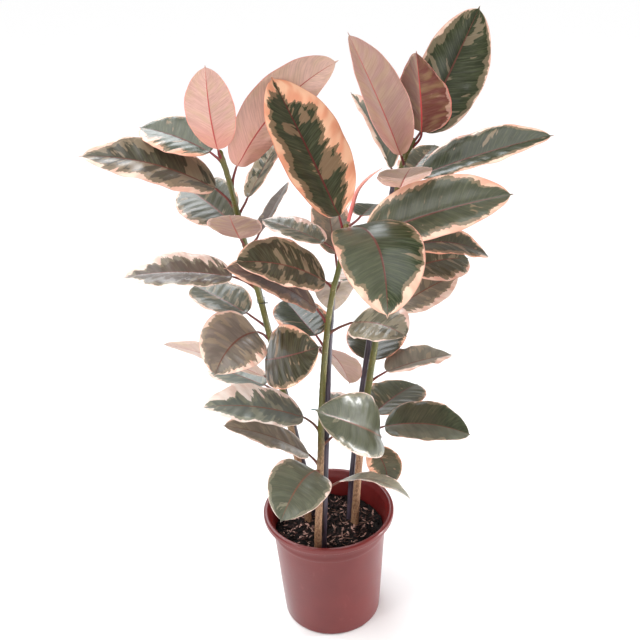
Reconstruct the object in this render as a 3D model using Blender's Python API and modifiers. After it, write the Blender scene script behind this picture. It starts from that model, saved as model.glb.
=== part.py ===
"""A potted rubber plant with pink and cream edged leaves: three staked stems in a plastic nursery pot.

Metres, Z up. The pot's underside rests on z = 0 about the origin, and the front is -Y.
Stem and leaf sizes below are in centimetres and degrees, the way the plant would be measured.
"""

from math import acos, atan2, cos, hypot, pi, radians, sin, tau

import bmesh
import bpy
from mathutils import Matrix, Vector

GAP = 0.0003  # air between pieces that touch

# Pot
POT_HEIGHT = 0.231
RIM_RADIUS = 0.120
LIP_HEIGHT = 0.011
NECK_RADIUS = 0.1065  # body just under the lip
FOOT_RADIUS = 0.0905
FOOT_ROUND = 0.006
SHOULDER_DROP = 0.042  # from the top of the rim down to the step in the wall
SHOULDER_STEP = 0.0009
POT_WALL = 0.0019
FLOOR_THICK = 0.0050
CHANNEL_WIDTH = 0.030
CHANNEL_DEPTH = 0.0030
CHANNEL_INNER = 0.038  # channels stop this far from the middle
DRAIN_RADIUS = 0.0045
DRAIN_CIRCLE = 0.062
TURNS = 72  # sides of every turned piece

# Soil
SOIL_TOP = 0.187
SOIL_DISH = 0.004  # how far the surface sinks towards the wall

# Stems: x, y, z along the middle in centimetres, then radius in millimetres at foot and top
ROOT_LEVEL = 11.0
STEMS = {
    "left": ([(-3.7, 2.0, ROOT_LEVEL), (-3.9, 2.0, 19), (-4.9, 2.0, 30), (-6.2, 1.9, 41),
              (-7.6, 1.7, 52), (-9.0, 1.5, 61.5), (-10.2, 1.2, 69), (-11.7, 1.0, 77.5),
              (-12.6, 0.6, 84), (-13.5, 0.3, 89.5), (-14.2, 0.2, 92.5)], 7.5, 4.2),
    "centre": ([(-2.3, -6.9, ROOT_LEVEL), (-2.2, -6.9, 20), (-1.6, -6.8, 29.5), (-0.9, -6.7, 40),
                (-0.3, -6.6, 50.5), (0.6, -6.5, 60), (1.3, -6.4, 65.5), (2.3, -6.3, 71),
                (3.4, -6.2, 75), (4.3, -6.0, 80), (4.7, -5.9, 82)], 7.3, 4.2),
    "right": ([(4.4, 0.7, ROOT_LEVEL), (4.8, 0.7, 19), (5.6, 0.8, 29), (6.5, 0.8, 38),
               (7.8, 0.9, 48), (9.2, 1.0, 57), (10.7, 1.1, 67), (12.3, 1.1, 78),
               (14.2, 1.0, 89.5), (15.6, 1.0, 92.7)], 7.8, 4.2),
}
STAKE_RADIUS = 0.0050
STAKES = {
    "left": [(-2.1, 3.4, ROOT_LEVEL), (-2.6, 3.4, 18), (-5.6, 3.4, 39.5), (-8.8, 3.0, 59), (-11.1, 2.4, 75.5)],
    "centre": [(-1.4, -5.9, ROOT_LEVEL), (-1.1, -5.8, 19), (0.2, -5.5, 42), (1.4, -5.2, 61), (2.1, -5.0, 69)],
    "right": [(3.5, 1.9, ROOT_LEVEL), (3.8, 1.9, 19), (5.4, 1.9, 37), (8.1, 2.1, 56), (12.6, 2.3, 85)],
}
TIE_RADIUS = 0.0008
TIE_SLACK = 0.0009
TIES = {"left": 65.5, "centre": 49.0}

# Leaves
BLADE_THICK = 0.0012
EDGE_THICK = 0.0008  # blade thickness half way out
KEEL = 0.0013  # midrib standing out under the blade
PETIOLE_RADIUS = 0.0021
PETIOLE_STATIONS = (0.0, 0.35, 0.7)
# Share of the blade's length, then its half width there as a share of the widest
OUTLINE = ((0.0, 0.0), (0.05, 0.34), (0.14, 0.68), (0.27, 0.92), (0.42, 1.0), (0.57, 0.96),
           (0.71, 0.80), (0.83, 0.52), (0.92, 0.21), (1.0, 0.03))

# One row per leaf, lowest first on each stem: stem, height above the floor, bearing at the stem, at the
# blade's foot and at its tip (0 is right, 90 is back, 180 is left), rise above level at the same
# three places, petiole, blade length, blade width, roll about the midrib, fold of each half.
LEAVES = {
    "left_01": ("left", 46.5, (140, 140, 130), (20, 0, -15), 4, 15, 8, 0, 10),
    "left_02": ("left", 49.0, (165, 175, 180), (35, 30, 14), 3, 18.5, 8.5, 50, 12),
    "left_03": ("left", 54.5, (-150, -70, -30), (20, 30, 30), 3, 17, 10.5, 70, 5),
    "left_04": ("left", 58.8, (-150, -130, -118), (60, 22, -45), 3, 12.5, 12, -32, 22),
    "left_05": ("left", 60.8, (150, 140, 130), (30, 12, -5), 4, 14, 9, -5, 15),
    "left_06": ("left", 68.5, (180, 180, 185), (45, 15, -8), 4, 18, 10, -10, 15),
    "left_07": ("left", 75.5, (30, 65, 70), (30, 25, 15), 3, 13, 6.5, -40, 12),
    "left_08": ("left", 76.5, (-110, -100, -90), (55, 45, 40), 2, 11, 8.5, 0, 10),
    "left_09": ("left", 78.5, (130, 125, 125), (25, 12, 0), 3, 15, 10, -25, 15),
    "left_10": ("left", 81.5, (50, 50, 50), (40, 42, 42), 3, 13.5, 8, -25, 10),
    "left_11": ("left", 83.0, (160, 180, 185), (60, 34, 2), 4, 21.5, 10.5, -20, 12),
    "left_12": ("left", 86.5, (40, 28, 18), (80, 56, 20), 3, 23, 11, -75, 12),
    "left_13": ("left", 90.5, (140, 145, 150), (35, 18, 0), 2.5, 14, 9.5, -15, 15),
    "left_14": ("left", 91.5, (-100, -100, -80), (50, 60, 70), 2, 16, 7.5, 0, 12),
    "centre_01": ("centre", 32.0, (0, -15, -20), (45, 28, -45), 4, 13.5, 8, -25, 12),
    "centre_02": ("centre", 36.5, (-120, -112, -112), (50, 30, -25), 2, 15.5, 10.5, -20, 15),
    "centre_03": ("centre", 38.0, (170, 190, 192), (60, 44, 18), 2.5, 16.5, 9.5, 0, 12),
    "centre_04": ("centre", 42.0, (10, 80, 140), (35, 20, 0), 5, 8, 6, 0, 12),
    "centre_05": ("centre", 45.0, (170, 188, 192), (60, 30, 2), 3.5, 17.5, 10.5, -8, 15),
    "centre_06": ("centre", 59.5, (125, 60, 45), (10, -35, -75), 3, 14, 9, 0, 10),
    "centre_07": ("centre", 60.5, (115, 115, 110), (25, 5, 0), 3, 13.5, 9, 0, 12),
    "centre_08": ("centre", 63.5, (-5, -45, -55), (38, 25, -5), 5, 12, 9, 20, 15),
    "centre_09": ("centre", 65.5, (190, 195, 195), (70, 50, 18), 3, 17, 9, -15, 12),
    "centre_10": ("centre", 70.5, (50, 95, 100), (30, -20, -80), 3, 13, 7, 0, 10),
    "centre_11": ("centre", 71.5, (190, 195, 200), (55, 40, 5), 1.5, 15.5, 10.5, -25, 15),
    "centre_12": ("centre", 74.0, (95, 95, 95), (40, 32, 20), 3, 14, 6.5, 0, 15),
    "centre_13": ("centre", 77.0, (145, 145, 145), (30, 15, 0), 3, 12, 7, 0, 12),
    "centre_14": ("centre", 78.0, (-20, -5, 0), (40, 24, 8), 4, 23, 12, 35, 28),
    "centre_15": ("centre", 80.0, (110, 142, 132), (80, 62, 52), 3, 23.5, 14, -8, 22),
    "centre_16": ("centre", 81.0, (-60, -65, -95), (40, 22, -65), 3, 20.5, 13, 0, 10),
    "centre_17": ("centre", 81.3, (45, 65, 75), (10, 0, -15), 4, 8, 6, 0, 12),
    "right_01": ("right", 34.6, (10, -45, -95), (45, 0, -62), 1.6, 8, 6.5, 0, 12),
    "right_02": ("right", 36.5, (0, -115, -155), (30, 44, 36), 6.5, 20.5, 12, -65, 28),
    "right_03": ("right", 38.5, (-10, -10, -10), (40, 18, -25), 4, 15.5, 10.5, 10, 20),
    "right_04": ("right", 40.0, (50, 50, 50), (30, 8, -15), 3, 14, 11, 0, 10),
    "right_05": ("right", 49.5, (20, 25, 25), (30, 6, -10), 3, 13.5, 9.5, -5, 25),
    "right_06": ("right", 50.5, (80, 80, 75), (30, 12, 0), 3, 15, 11, 0, 10),
    "right_07": ("right", 61.5, (10, 20, 25), (38, 26, 8), 3, 12.5, 7.5, 30, 12),
    "right_08": ("right", 64.5, (85, 120, 120), (20, 5, -5), 3, 10.5, 8, 0, 12),
    "right_09": ("right", 68.6, (20, 30, 35), (24, 4, -20), 4, 13.5, 10, 26, 12),
    "right_10": ("right", 73.5, (20, 20, 15), (15, 5, -40), 3, 16, 9.5, 12, 15),
    "right_11": ("right", 84.0, (-90, -85, -85), (50, 42, 30), 2, 11, 8.5, 0, 12),
    "right_12": ("right", 84.5, (60, 60, 60), (20, 15, 5), 3, 11, 7, 0, 12),
    "right_13": ("right", 85.5, (-10, -5, -5), (30, 22, 12), 3, 21, 10.5, 15, 25),
    "right_14": ("right", 85.0, (120, 120, 118), (50, 45, 34), 3, 15, 8.5, 14, 52),
    "right_15": ("right", 88.8, (-100, -147, -172), (50, 68, 66), 2, 21.3, 10.2, 39, 42),
    "right_16": ("right", 91.5, (4, -92, -136), (40, 72, 80), 3.1, 13.5, 10.2, -20, 20),
    "right_17": ("right", 92.3, (40, 40, 40), (30, 50, 55), 2, 21, 12, 60, 25),
}

# Rolled bud sheath at the tip of the middle stem, base to point in centimetres, and its radius in mm
SHEATH = [(5.0, -6.3, 82.6), (5.6, -6.8, 85.0), (6.6, -7.3, 88.0), (8.2, -7.8, 90.0), (10.0, -8.2, 91.4)]
SHEATH_RADII = (3.0, 3.4, 3.0, 2.0, 0.5)


def clear_scene():
    for obj in list(bpy.data.objects):
        bpy.data.objects.remove(obj)


def new_collection(name, hidden=False):
    collection = bpy.data.collections.new(name)
    bpy.context.scene.collection.children.link(collection)
    collection.hide_render = hidden
    return collection


def new_material(name, colour, roughness, metallic=0.0):
    material = bpy.data.materials.new(name)
    material.use_nodes = True
    surface = material.node_tree.nodes["Principled BSDF"]
    surface.inputs["Base Color"].default_value = (*colour, 1.0)
    surface.inputs["Roughness"].default_value = roughness
    surface.inputs["Metallic"].default_value = metallic
    material.diffuse_color = (*colour, 1.0)
    return material


def place(obj, collection, material=None):
    collection.objects.link(obj)
    if material:
        obj.data.materials.append(material)
    return obj


def as_cutter(obj):
    obj.hide_render = True
    obj.display_type = "WIRE"
    return obj


def mesh_object(name, points, faces, smooth=True):
    mesh = bpy.data.meshes.new(name)
    mesh.from_pydata([tuple(p) for p in points], [], faces)
    mesh.validate()
    mesh.polygons.foreach_set("use_smooth", [smooth] * len(mesh.polygons))
    return bpy.data.objects.new(name, mesh)


def turned(name, profile):
    """A solid of revolution. The profile runs down its outer side, then back up inside."""
    edges = [(i, i + 1) for i in range(len(profile) - 1)]
    mesh = bpy.data.meshes.new(name)
    mesh.from_pydata([(radius, 0.0, height) for radius, height in profile], edges, [])
    obj = bpy.data.objects.new(name, mesh)
    screw = obj.modifiers.new("turn", "SCREW")
    screw.axis = "Z"
    screw.angle = tau
    screw.steps = TURNS
    screw.render_steps = TURNS
    screw.use_merge_vertices = True
    screw.merge_threshold = 0.0001
    screw.use_smooth_shade = True
    return obj


def tube(name, points, radii, sides=12, closed=False):
    """A round rod through the points, filled at both ends."""
    curve = bpy.data.curves.new(name, "CURVE")
    curve.dimensions = "3D"
    curve.bevel_depth = 1.0
    curve.bevel_resolution = sides // 4 - 1
    curve.use_fill_caps = not closed
    spline = curve.splines.new("POLY")
    spline.points.add(len(points) - 1)
    spline.use_cyclic_u = closed
    spline.use_smooth = True
    for point, place_at, radius in zip(spline.points, points, radii):
        point.co = (*place_at, 1.0)
        point.radius = radius
    return bpy.data.objects.new(name, curve)


def as_mesh(obj):
    """The rod as a closed mesh, which a Boolean can take."""
    graph = bpy.context.evaluated_depsgraph_get()
    mesh = bpy.data.meshes.new_from_object(obj.evaluated_get(graph))
    solid = bpy.data.objects.new(obj.name, mesh)
    weld(mesh)
    bpy.data.objects.remove(obj)
    return solid


def weld(mesh):
    work = bmesh.new()
    work.from_mesh(mesh)
    bmesh.ops.remove_doubles(work, verts=work.verts, dist=1e-6)
    bmesh.ops.recalc_face_normals(work, faces=work.faces)
    work.to_mesh(mesh)
    work.free()


def cut(obj, cutter):
    boolean = obj.modifiers.new("cut " + cutter.name, "BOOLEAN")
    boolean.operation = "DIFFERENCE"
    boolean.solver = "EXACT"
    boolean.object = cutter


def centimetres(points):
    return [Vector(p) / 100 for p in points]


def stem_path(name):
    """Points along the middle of a stem, and the radius at each."""
    points, foot, top = STEMS[name]
    points = centimetres(points)
    low, high = points[0].z, points[-1].z
    radii = [(foot + (top - foot) * ((p.z - low) / (high - low)) ** 0.8) / 1000 for p in points]
    return points, radii


def along_stem(name, height):
    """Middle, direction and radius of a stem at a height in metres."""
    points, radii = stem_path(name)
    for i in range(len(points) - 1):
        if height <= points[i + 1].z or i == len(points) - 2:
            share = (height - points[i].z) / (points[i + 1].z - points[i].z)
            middle = points[i].lerp(points[i + 1], share)
            direction = (points[i + 1] - points[i]).normalized()
            return middle, direction, radii[i] + (radii[i + 1] - radii[i]) * share


def along_stake(name, height):
    points = centimetres(STAKES[name])
    for low, high in zip(points, points[1:]):
        if low.z <= height <= high.z:
            return low.lerp(high, (height - low.z) / (high.z - low.z))


def mix(a, b, share):
    return a + (b - a) * share


def heading(bearing, rise):
    return Vector((cos(rise) * cos(bearing), cos(rise) * sin(bearing), sin(rise)))


def leaf_line(bearings, rises, petiole, blade, foot):
    """Stations along petiole and midrib: share of blade (below 0 on the petiole), place, direction."""
    shares = [s - 1.0 for s in PETIOLE_STATIONS] + [s for s, _ in OUTLINE]
    steps = 12
    place_at = Vector(foot)
    line = []
    for i, share in enumerate(shares):
        if i:
            before = shares[i - 1]
            for k in range(steps):
                at = mix(before, share, (k + 0.5) / steps)
                step = (share - before) / steps * (petiole if at < 0 else blade)
                place_at = place_at + step * heading(*bend(bearings, rises, at))
        line.append((share, place_at.copy(), bend(bearings, rises, share)))
    return line


def bend(bearings, rises, share):
    """Bearing and rise at a share of the blade, or of the petiole where it is below 0."""
    if share < 0:
        return mix(bearings[0], bearings[1], share + 1), mix(rises[0], rises[1], share + 1)
    return mix(bearings[1], bearings[2], share), mix(rises[1], rises[2], share)


def round_section(radius):
    """Eight points of a petiole's section, from the right edge over the top to the left and under."""
    return [(radius * cos(k * pi / 4), radius * sin(k * pi / 4)) for k in range(8)]


def blade_section(half, fold, thin):
    """Eight points of a blade's section: edge, upper, midrib top, upper, edge, lower, keel, lower."""
    across, up = half / 2 * cos(fold), half / 2 * sin(fold)
    lift, nip = EDGE_THICK / 2 * thin, BLADE_THICK / 2 * thin
    keel = nip + KEEL * thin
    right = [(2 * across, 2 * up), (across, up + lift)]
    left = [(-across, up + lift), (-2 * across, 2 * up)]
    return right + [(0, nip)] + left + [(-across, up - lift), (0, -keel), (across, up - lift)]


def leaf(name, row):
    """Petiole and blade in one closed loft."""
    stem, height, bearings, rises, petiole, length, width, roll, fold = row
    bearings = [radians(b) for b in bearings]
    rises = [radians(r) for r in rises]
    petiole, length, half = petiole / 100, length / 100, width / 200
    middle, direction, radius = along_stem(stem, height / 100)
    out = heading(bearings[0], 0.0)
    out = (out - out.dot(direction) * direction).normalized()
    foot = middle + (radius + GAP) * out
    sideways = direction.cross(out)
    widths = dict(OUTLINE)
    points = []
    for share, place_at, (bearing, rise) in leaf_line(bearings, rises, petiole, length, foot):
        ahead = heading(bearing, rise)
        right = Vector((sin(bearing), -cos(bearing), 0.0))
        up = right.cross(ahead)
        turn = radians(roll) * min(1.0, share + 1.0)
        right, up = cos(turn) * right - sin(turn) * up, cos(turn) * up + sin(turn) * right
        if share <= 0:
            section = round_section(PETIOLE_RADIUS * (1.15 - 0.25 * (share + 1)))
        else:
            thin = 1.0 - 0.6 * share**2
            section = blade_section(half * widths[share], radians(fold), thin)
        if share == -1.0:  # the foot lies flat against the stem
            right, up = -sideways, direction
        points += [place_at + x * right + y * up for x, y in section]
    rings = len(points) // 8
    faces = [[7, 6, 5], [7, 5, 4], [7, 4, 3], [7, 3, 2], [7, 2, 1], [7, 1, 0]]
    for r in range(rings - 1):
        for k in range(8):
            a, b = 8 * r + k, 8 * r + (k + 1) % 8
            c, d = a + 8, b + 8
            faces += [[a, b, d], [a, d, c]] if k in (0, 1, 4, 5) else [[a, b, c], [b, d, c]]
    last = 8 * (rings - 1)
    faces += [[last + a, last + b, last + c] for a, b, c in ((0, 1, 7), (1, 6, 7), (1, 2, 6))]
    faces += [[last + a, last + b, last + c] for a, b, c in ((2, 5, 6), (2, 3, 5), (3, 4, 5))]
    return mesh_object(name, points, [face[::-1] for face in faces])


def tie_path(name):
    """A loop drawn round a stem and its stake."""
    height = TIES[name] / 100
    middle, _, radius = along_stem(name, height)
    stake = along_stake(name, height)
    reach = TIE_RADIUS + TIE_SLACK
    apart = hypot(stake.x - middle.x, stake.y - middle.y)
    facing = atan2(stake.y - middle.y, stake.x - middle.x)
    lean = acos((radius - STAKE_RADIUS) / apart)
    loop = []
    for centre, size, first, last in (
        (stake, STAKE_RADIUS + reach, facing - lean, facing + lean),
        (middle, radius + reach, facing + lean, facing + tau - lean),
    ):
        for k in range(9):
            angle = mix(first, last, k / 8)
            loop.append((centre.x + size * cos(angle), centre.y + size * sin(angle), height))
    return loop


def pot_profile():
    """Down the outside from the rolled lip, across the floor, and up the inside."""
    lip_low = POT_HEIGHT - LIP_HEIGHT
    step = POT_HEIGHT - SHOULDER_DROP
    slope = (NECK_RADIUS - FOOT_RADIUS) / (lip_low - FOOT_ROUND)

    def wall(height):
        return FOOT_RADIUS + slope * (height - FOOT_ROUND)

    outer = [
        (RIM_RADIUS - 0.0035, POT_HEIGHT),
        (RIM_RADIUS - 0.0012, POT_HEIGHT - 0.0006),
        (RIM_RADIUS, POT_HEIGHT - 0.0024),
        (RIM_RADIUS, lip_low + 0.0014),
        (RIM_RADIUS - 0.0010, lip_low),
        (RIM_RADIUS - 0.0035, lip_low),
        (wall(lip_low) + 0.0012, lip_low + 0.0012),
        (wall(lip_low), lip_low - 0.0012),
        (wall(step) + 0.0002, step + 0.0010),
        (wall(step) - SHOULDER_STEP, step - 0.0010),
        (wall(0.110) - SHOULDER_STEP * 0.6, 0.110),
        (wall(0.030), 0.030),
        (FOOT_RADIUS, FOOT_ROUND),
        (FOOT_RADIUS - FOOT_ROUND * 0.29, FOOT_ROUND * 0.29),
        (FOOT_RADIUS - FOOT_ROUND, 0.0),
        (CHANNEL_INNER, 0.0),
        (0.0, 0.0),
    ]
    inner = [
        (0.0, FLOOR_THICK),
        (FOOT_RADIUS - FOOT_ROUND, FLOOR_THICK),
        (wall(FLOOR_THICK + 0.004) - POT_WALL, FLOOR_THICK + 0.004),
        (wall(0.110) - SHOULDER_STEP * 0.6 - POT_WALL, 0.110),
        (wall(step) - SHOULDER_STEP - POT_WALL, step - 0.0010),
        (wall(step) - POT_WALL, step + 0.0010),
        (wall(lip_low) - POT_WALL, lip_low - 0.0012),
        (wall(lip_low) + 0.0030, lip_low + 0.0060),
        (RIM_RADIUS - 0.0065, POT_HEIGHT - 0.0010),
    ]
    return outer + inner + outer[:1]


def soil_profile():
    """Down the outside, leaving the gap to the wall, and in along the floor."""
    inner = [p for p in pot_profile()[18:22]]
    lower = [(radius - GAP, height + GAP) for radius, height in inner]
    foot, side, middle, high = lower
    slope = (high[0] - middle[0]) / (high[1] - middle[1])
    edge = SOIL_TOP - SOIL_DISH
    edge_radius = middle[0] + slope * (edge - middle[1])
    top = [(0.0, SOIL_TOP), (0.030, SOIL_TOP - 0.0004), (0.060, SOIL_TOP - 0.0012), (0.085, SOIL_TOP - 0.0024)]
    return top + [(edge_radius, edge), middle, side, foot, (0.0, foot[1])]


def box(name, low, high):
    xs, ys, zs = zip(low, high)
    points = [(x, y, z) for x in xs for y in ys for z in zs]
    faces = [(0, 1, 3, 2), (4, 6, 7, 5), (0, 4, 5, 1), (2, 3, 7, 6), (0, 2, 6, 4), (1, 5, 7, 3)]
    return mesh_object(name, points, faces, smooth=False)


def make_pot(parts, cutters, plastic):
    pot = place(turned("pot", pot_profile()), parts, plastic)
    for k in range(4):
        channel = box(f"channel_{k}", (CHANNEL_INNER, -CHANNEL_WIDTH / 2, -0.01),
                      (FOOT_RADIUS + 0.01, CHANNEL_WIDTH / 2, CHANNEL_DEPTH))
        channel.data.transform(Matrix.Rotation(k * pi / 2, 4, "Z"))
        cut(pot, place(as_cutter(channel), cutters))
    for k in range(8):
        angle = k * pi / 4
        middle = Vector((DRAIN_CIRCLE * cos(angle), DRAIN_CIRCLE * sin(angle), 0.0))
        ends = [middle - Vector((0, 0, 0.01)), middle + Vector((0, 0, FLOOR_THICK + 0.01))]
        hole = as_mesh(place(tube(f"drain_{k}", ends, [DRAIN_RADIUS] * 2), cutters))
        cut(pot, place(as_cutter(hole), cutters))


def make_rods(parts, cutters, bark, plastic, soil):
    """Stems and stakes, each with the bore it stands in."""
    rods = []
    for name in STEMS:
        points, radii = stem_path(name)
        rods.append(("stem_" + name, points, radii, bark))
    for name, stake in STAKES.items():
        points = centimetres(stake)
        rods.append(("stake_" + name, points, [STAKE_RADIUS] * len(points), plastic))
    for name, points, radii, material in rods:
        place(tube(name, points, radii), parts, material)
        deeper = [points[0] - Vector((0, 0, GAP))] + points[1:3]
        wider = [radius + GAP for radius in radii[:3]]
        bore = as_mesh(place(tube("bore_" + name, deeper, wider), cutters))
        cut(soil, place(as_cutter(bore), cutters))


def main():
    clear_scene()
    parts = new_collection("potted_rubber_plant")
    cutters = new_collection("cutters", hidden=True)
    pot_plastic = new_material("pot_plastic", (0.36, 0.085, 0.075), 0.35)
    earth = new_material("soil", (0.035, 0.022, 0.016), 0.95)
    bark = new_material("stem", (0.23, 0.25, 0.07), 0.6)
    black = new_material("stake_plastic", (0.015, 0.014, 0.018), 0.45)
    wire = new_material("tie_wire", (0.04, 0.12, 0.11), 0.5)
    green = new_material("leaf", (0.09, 0.13, 0.075), 0.35)
    pink = new_material("sheath", (0.75, 0.2, 0.19), 0.45)

    make_pot(parts, cutters, pot_plastic)
    soil = place(turned("soil", soil_profile()), parts, earth)
    make_rods(parts, cutters, bark, black, soil)
    for name in TIES:
        loop = tie_path(name)
        place(tube("tie_" + name, loop, [TIE_RADIUS] * len(loop), sides=8, closed=True), parts, wire)
    radii = [radius / 1000 for radius in SHEATH_RADII]
    place(tube("bud_sheath", centimetres(SHEATH), radii), parts, pink)
    for name, row in LEAVES.items():
        place(leaf("leaf_" + name, row), parts, green)


main()
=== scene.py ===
"""A potted rubber plant with pink and cream edged leaves: three staked stems in a moulded nursery pot."""

from functools import partial
from math import cos, pi, radians, sin, tau

import bpy
import numpy as np
from mathutils import Matrix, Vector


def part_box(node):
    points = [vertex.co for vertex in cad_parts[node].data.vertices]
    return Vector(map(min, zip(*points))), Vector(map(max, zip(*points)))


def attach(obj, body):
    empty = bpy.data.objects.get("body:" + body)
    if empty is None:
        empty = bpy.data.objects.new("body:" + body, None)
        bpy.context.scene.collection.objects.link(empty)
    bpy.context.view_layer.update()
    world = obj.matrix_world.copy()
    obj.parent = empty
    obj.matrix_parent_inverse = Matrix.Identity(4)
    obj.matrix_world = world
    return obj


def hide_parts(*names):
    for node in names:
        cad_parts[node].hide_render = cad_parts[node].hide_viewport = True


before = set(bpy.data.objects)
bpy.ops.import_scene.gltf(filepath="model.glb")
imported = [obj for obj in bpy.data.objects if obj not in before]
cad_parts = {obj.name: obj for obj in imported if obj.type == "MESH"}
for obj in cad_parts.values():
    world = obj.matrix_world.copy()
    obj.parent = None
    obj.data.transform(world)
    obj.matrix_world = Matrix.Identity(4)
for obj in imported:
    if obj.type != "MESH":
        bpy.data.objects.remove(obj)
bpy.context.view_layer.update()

# ---------------------------------------------------------------------------------------------
# Pot. A round nursery pot moulded in terracotta coloured plastic: a rolled lip, a shallow step
# below it, straight tapering walls, and a floor with eight drain holes and four feet between
# channels. It is one moulding, with a soft sheen and faint scuffs.
# ---------------------------------------------------------------------------------------------


def tint(red, green, blue):
    """A colour given as 0 to 255 screen values, as the linear values that a shader takes."""
    share = np.array([red, green, blue]) / 255
    linear = np.where(share <= 0.04045, share / 12.92, ((share + 0.055) / 1.055) ** 2.4)
    return (*linear.tolist(), 1.0)


def recipe(name, coat=0.0, coat_roughness=0.2, specular=0.5):
    """A new material's add function, which makes a node from its kind, inputs and settings.

    Inputs are {place or name: value or socket}. The add function carries shorter ones: for sums,
    for colours mixed by a share, for a smooth ramp between two levels and for noise, and finish,
    which ends the recipe with the shader and hands back the material.
    """
    made = bpy.data.materials.new(name)
    made.use_nodes = True
    tree = made.node_tree
    tree.nodes.clear()

    def add(kind, inputs=None, out=0, **settings):
        node = tree.nodes.new("ShaderNode" + kind)
        for key, value in settings.items():
            setattr(node, key, value)
        for key, value in (inputs or {}).items():
            if isinstance(value, bpy.types.NodeSocket):
                tree.links.new(value, node.inputs[key])
            else:
                node.inputs[key].default_value = value
        return node.outputs[out] if node.outputs else node

    def finish(colour, rough, bump=None, depth=0.001, strength=1.0):
        inputs = {"Base Color": colour, "Roughness": rough, "Coat Weight": coat,
                  "Coat Roughness": coat_roughness, "Specular IOR Level": specular}
        if bump is not None:
            inputs["Normal"] = add("Bump", {"Height": bump, "Distance": depth, "Strength": strength})
        add("OutputMaterial", {"Surface": add("BsdfPrincipled", inputs)})
        return made

    def calc(operation, a, b=0.0, c=0.0):
        return add("Math", {0: a, 1: b, 2: c}, operation=operation)

    def mix(share, a, b):
        return add("Mix", {0: share, 6: a, 7: b}, out=2, data_type="RGBA")

    def ramp(value, low, high, to_low=0.0, to_high=1.0):
        ends = {0: value, 1: low, 2: high, 3: to_low, 4: to_high}
        return add("MapRange", ends, interpolation_type="SMOOTHSTEP")

    def noise(place, scale, detail=2.0, rough=0.5, stretch=(1, 1, 1), shift=(0, 0, 0)):
        place = add("Mapping", {0: place, 1: shift, 3: stretch})
        return add("TexNoise", {"Vector": place, "Scale": scale, "Detail": detail, "Roughness": rough})

    add.finish, add.calc, add.mix, add.ramp, add.noise = finish, calc, mix, ramp, noise
    add.plus, add.minus, add.times = (partial(calc, kind) for kind in ("ADD", "SUBTRACT", "MULTIPLY"))
    add.place = lambda: add("TexCoord", out=3)
    return add


def skin(name, grid, materials, face_material=None, sharp=40, uv=None):
    """A closed mesh over grid[along, around]: quads between neighbours, the last column joined to the
    first, and each end closed by a fan round its middle point. uv holds the same grid of (u, v)."""
    rows, columns = grid.shape[:2]
    ends = grid[[0, -1]].mean(axis=1)
    points = np.vstack([grid.reshape(-1, 3), ends])
    r, c = np.mgrid[0:rows - 1, 0:columns]
    a, b = r * columns + c, r * columns + (c + 1) % columns
    quads = np.stack([a, b, b + columns, a + columns], axis=-1).reshape(-1, 4)
    c = np.arange(columns)
    low = np.stack([np.full(columns, rows * columns), (c + 1) % columns, c], axis=-1)
    top = (rows - 1) * columns
    high = np.stack([np.full(columns, rows * columns + 1), top + c, top + (c + 1) % columns], axis=-1)
    corners = np.concatenate([quads.ravel(), low.ravel(), high.ravel()])
    sides = np.concatenate([np.full(len(quads), 4), np.full(2 * columns, 3)])
    starts = np.concatenate([[0], np.cumsum(sides)[:-1]])
    mesh = bpy.data.meshes.new(name)
    mesh.vertices.add(len(points))
    mesh.vertices.foreach_set("co", points.astype(np.float32).ravel())
    mesh.loops.add(len(corners))
    mesh.loops.foreach_set("vertex_index", corners.astype(np.int32))
    mesh.polygons.add(len(sides))
    mesh.polygons.foreach_set("loop_start", starts.astype(np.int32))
    mesh.polygons.foreach_set("use_smooth", np.ones(len(sides), bool))
    for material in materials:
        mesh.materials.append(material)
    if face_material is not None:
        walls = np.broadcast_to(face_material, (rows - 1, columns)).ravel()
        index = np.concatenate([walls, np.zeros(2 * columns)])
        mesh.polygons.foreach_set("material_index", index.astype(np.int32))
    if uv is not None:
        flat = np.vstack([uv.reshape(-1, 2), uv[[0, -1]].mean(axis=1)])
        mesh.uv_layers.new(name="grain").uv.foreach_set("vector", flat[corners].astype(np.float32).ravel())
    mesh.update(calc_edges=True)
    mesh.set_sharp_from_angle(angle=radians(sharp))
    piece = bpy.data.objects.new(name, mesh)
    bpy.context.scene.collection.objects.link(piece)
    return piece


def belongs(piece, slot, *nodes):
    """The piece rides on the plant and stands for the CAD nodes, which it hides. The slot is not used."""
    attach(piece, "root")
    if nodes:
        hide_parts(*nodes)
    return piece


pot_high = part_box("pot")[1]
RIM, POT_TOP = pot_high[0], pot_high[2]
LIP_DEPTH, STEP_DEPTH = 0.011, 0.042
LIP_LOW, STEP = POT_TOP - LIP_DEPTH, POT_TOP - STEP_DEPTH
FOOT, NECK, WALL, FLOOR = 0.0905, 0.1065, 0.0019, 0.005
FOOT_ROUND, LIP_ROUND, CROWN_ROUND, MOUTH_ROUND = 0.006, 0.0022, 0.0034, 0.0024
DRAWN_IN, DRAWN_FROM = 0.0006, 0.1
POT_SIDES = 144
HOLES, HOLE_RADIUS, HOLE_CIRCLE = 8, 0.0045, 0.062
CHANNEL_HALF, CHANNEL_DEPTH, CHANNEL_FROM, CHANNEL_TO = 0.015, 0.003, 0.038, 0.11


def wall(height):
    """Outer radius of the plain wall: a straight taper from the foot to the neck."""
    return FOOT + (NECK - FOOT) * (height - FOOT_ROUND) / (LIP_LOW - FOOT_ROUND)


def drawn_in(height):
    """How far the wall stands in from its plain taper, which it does a little way up and above."""
    return DRAWN_IN * (height > DRAWN_FROM)


def arc(x, z, radius, first, last, count):
    """Points on a circle about (x, z), from one angle in degrees to another."""
    angle = np.radians(np.linspace(first, last, count))
    return np.stack([x + radius * np.cos(angle), z + radius * np.sin(angle)], axis=-1)


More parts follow.
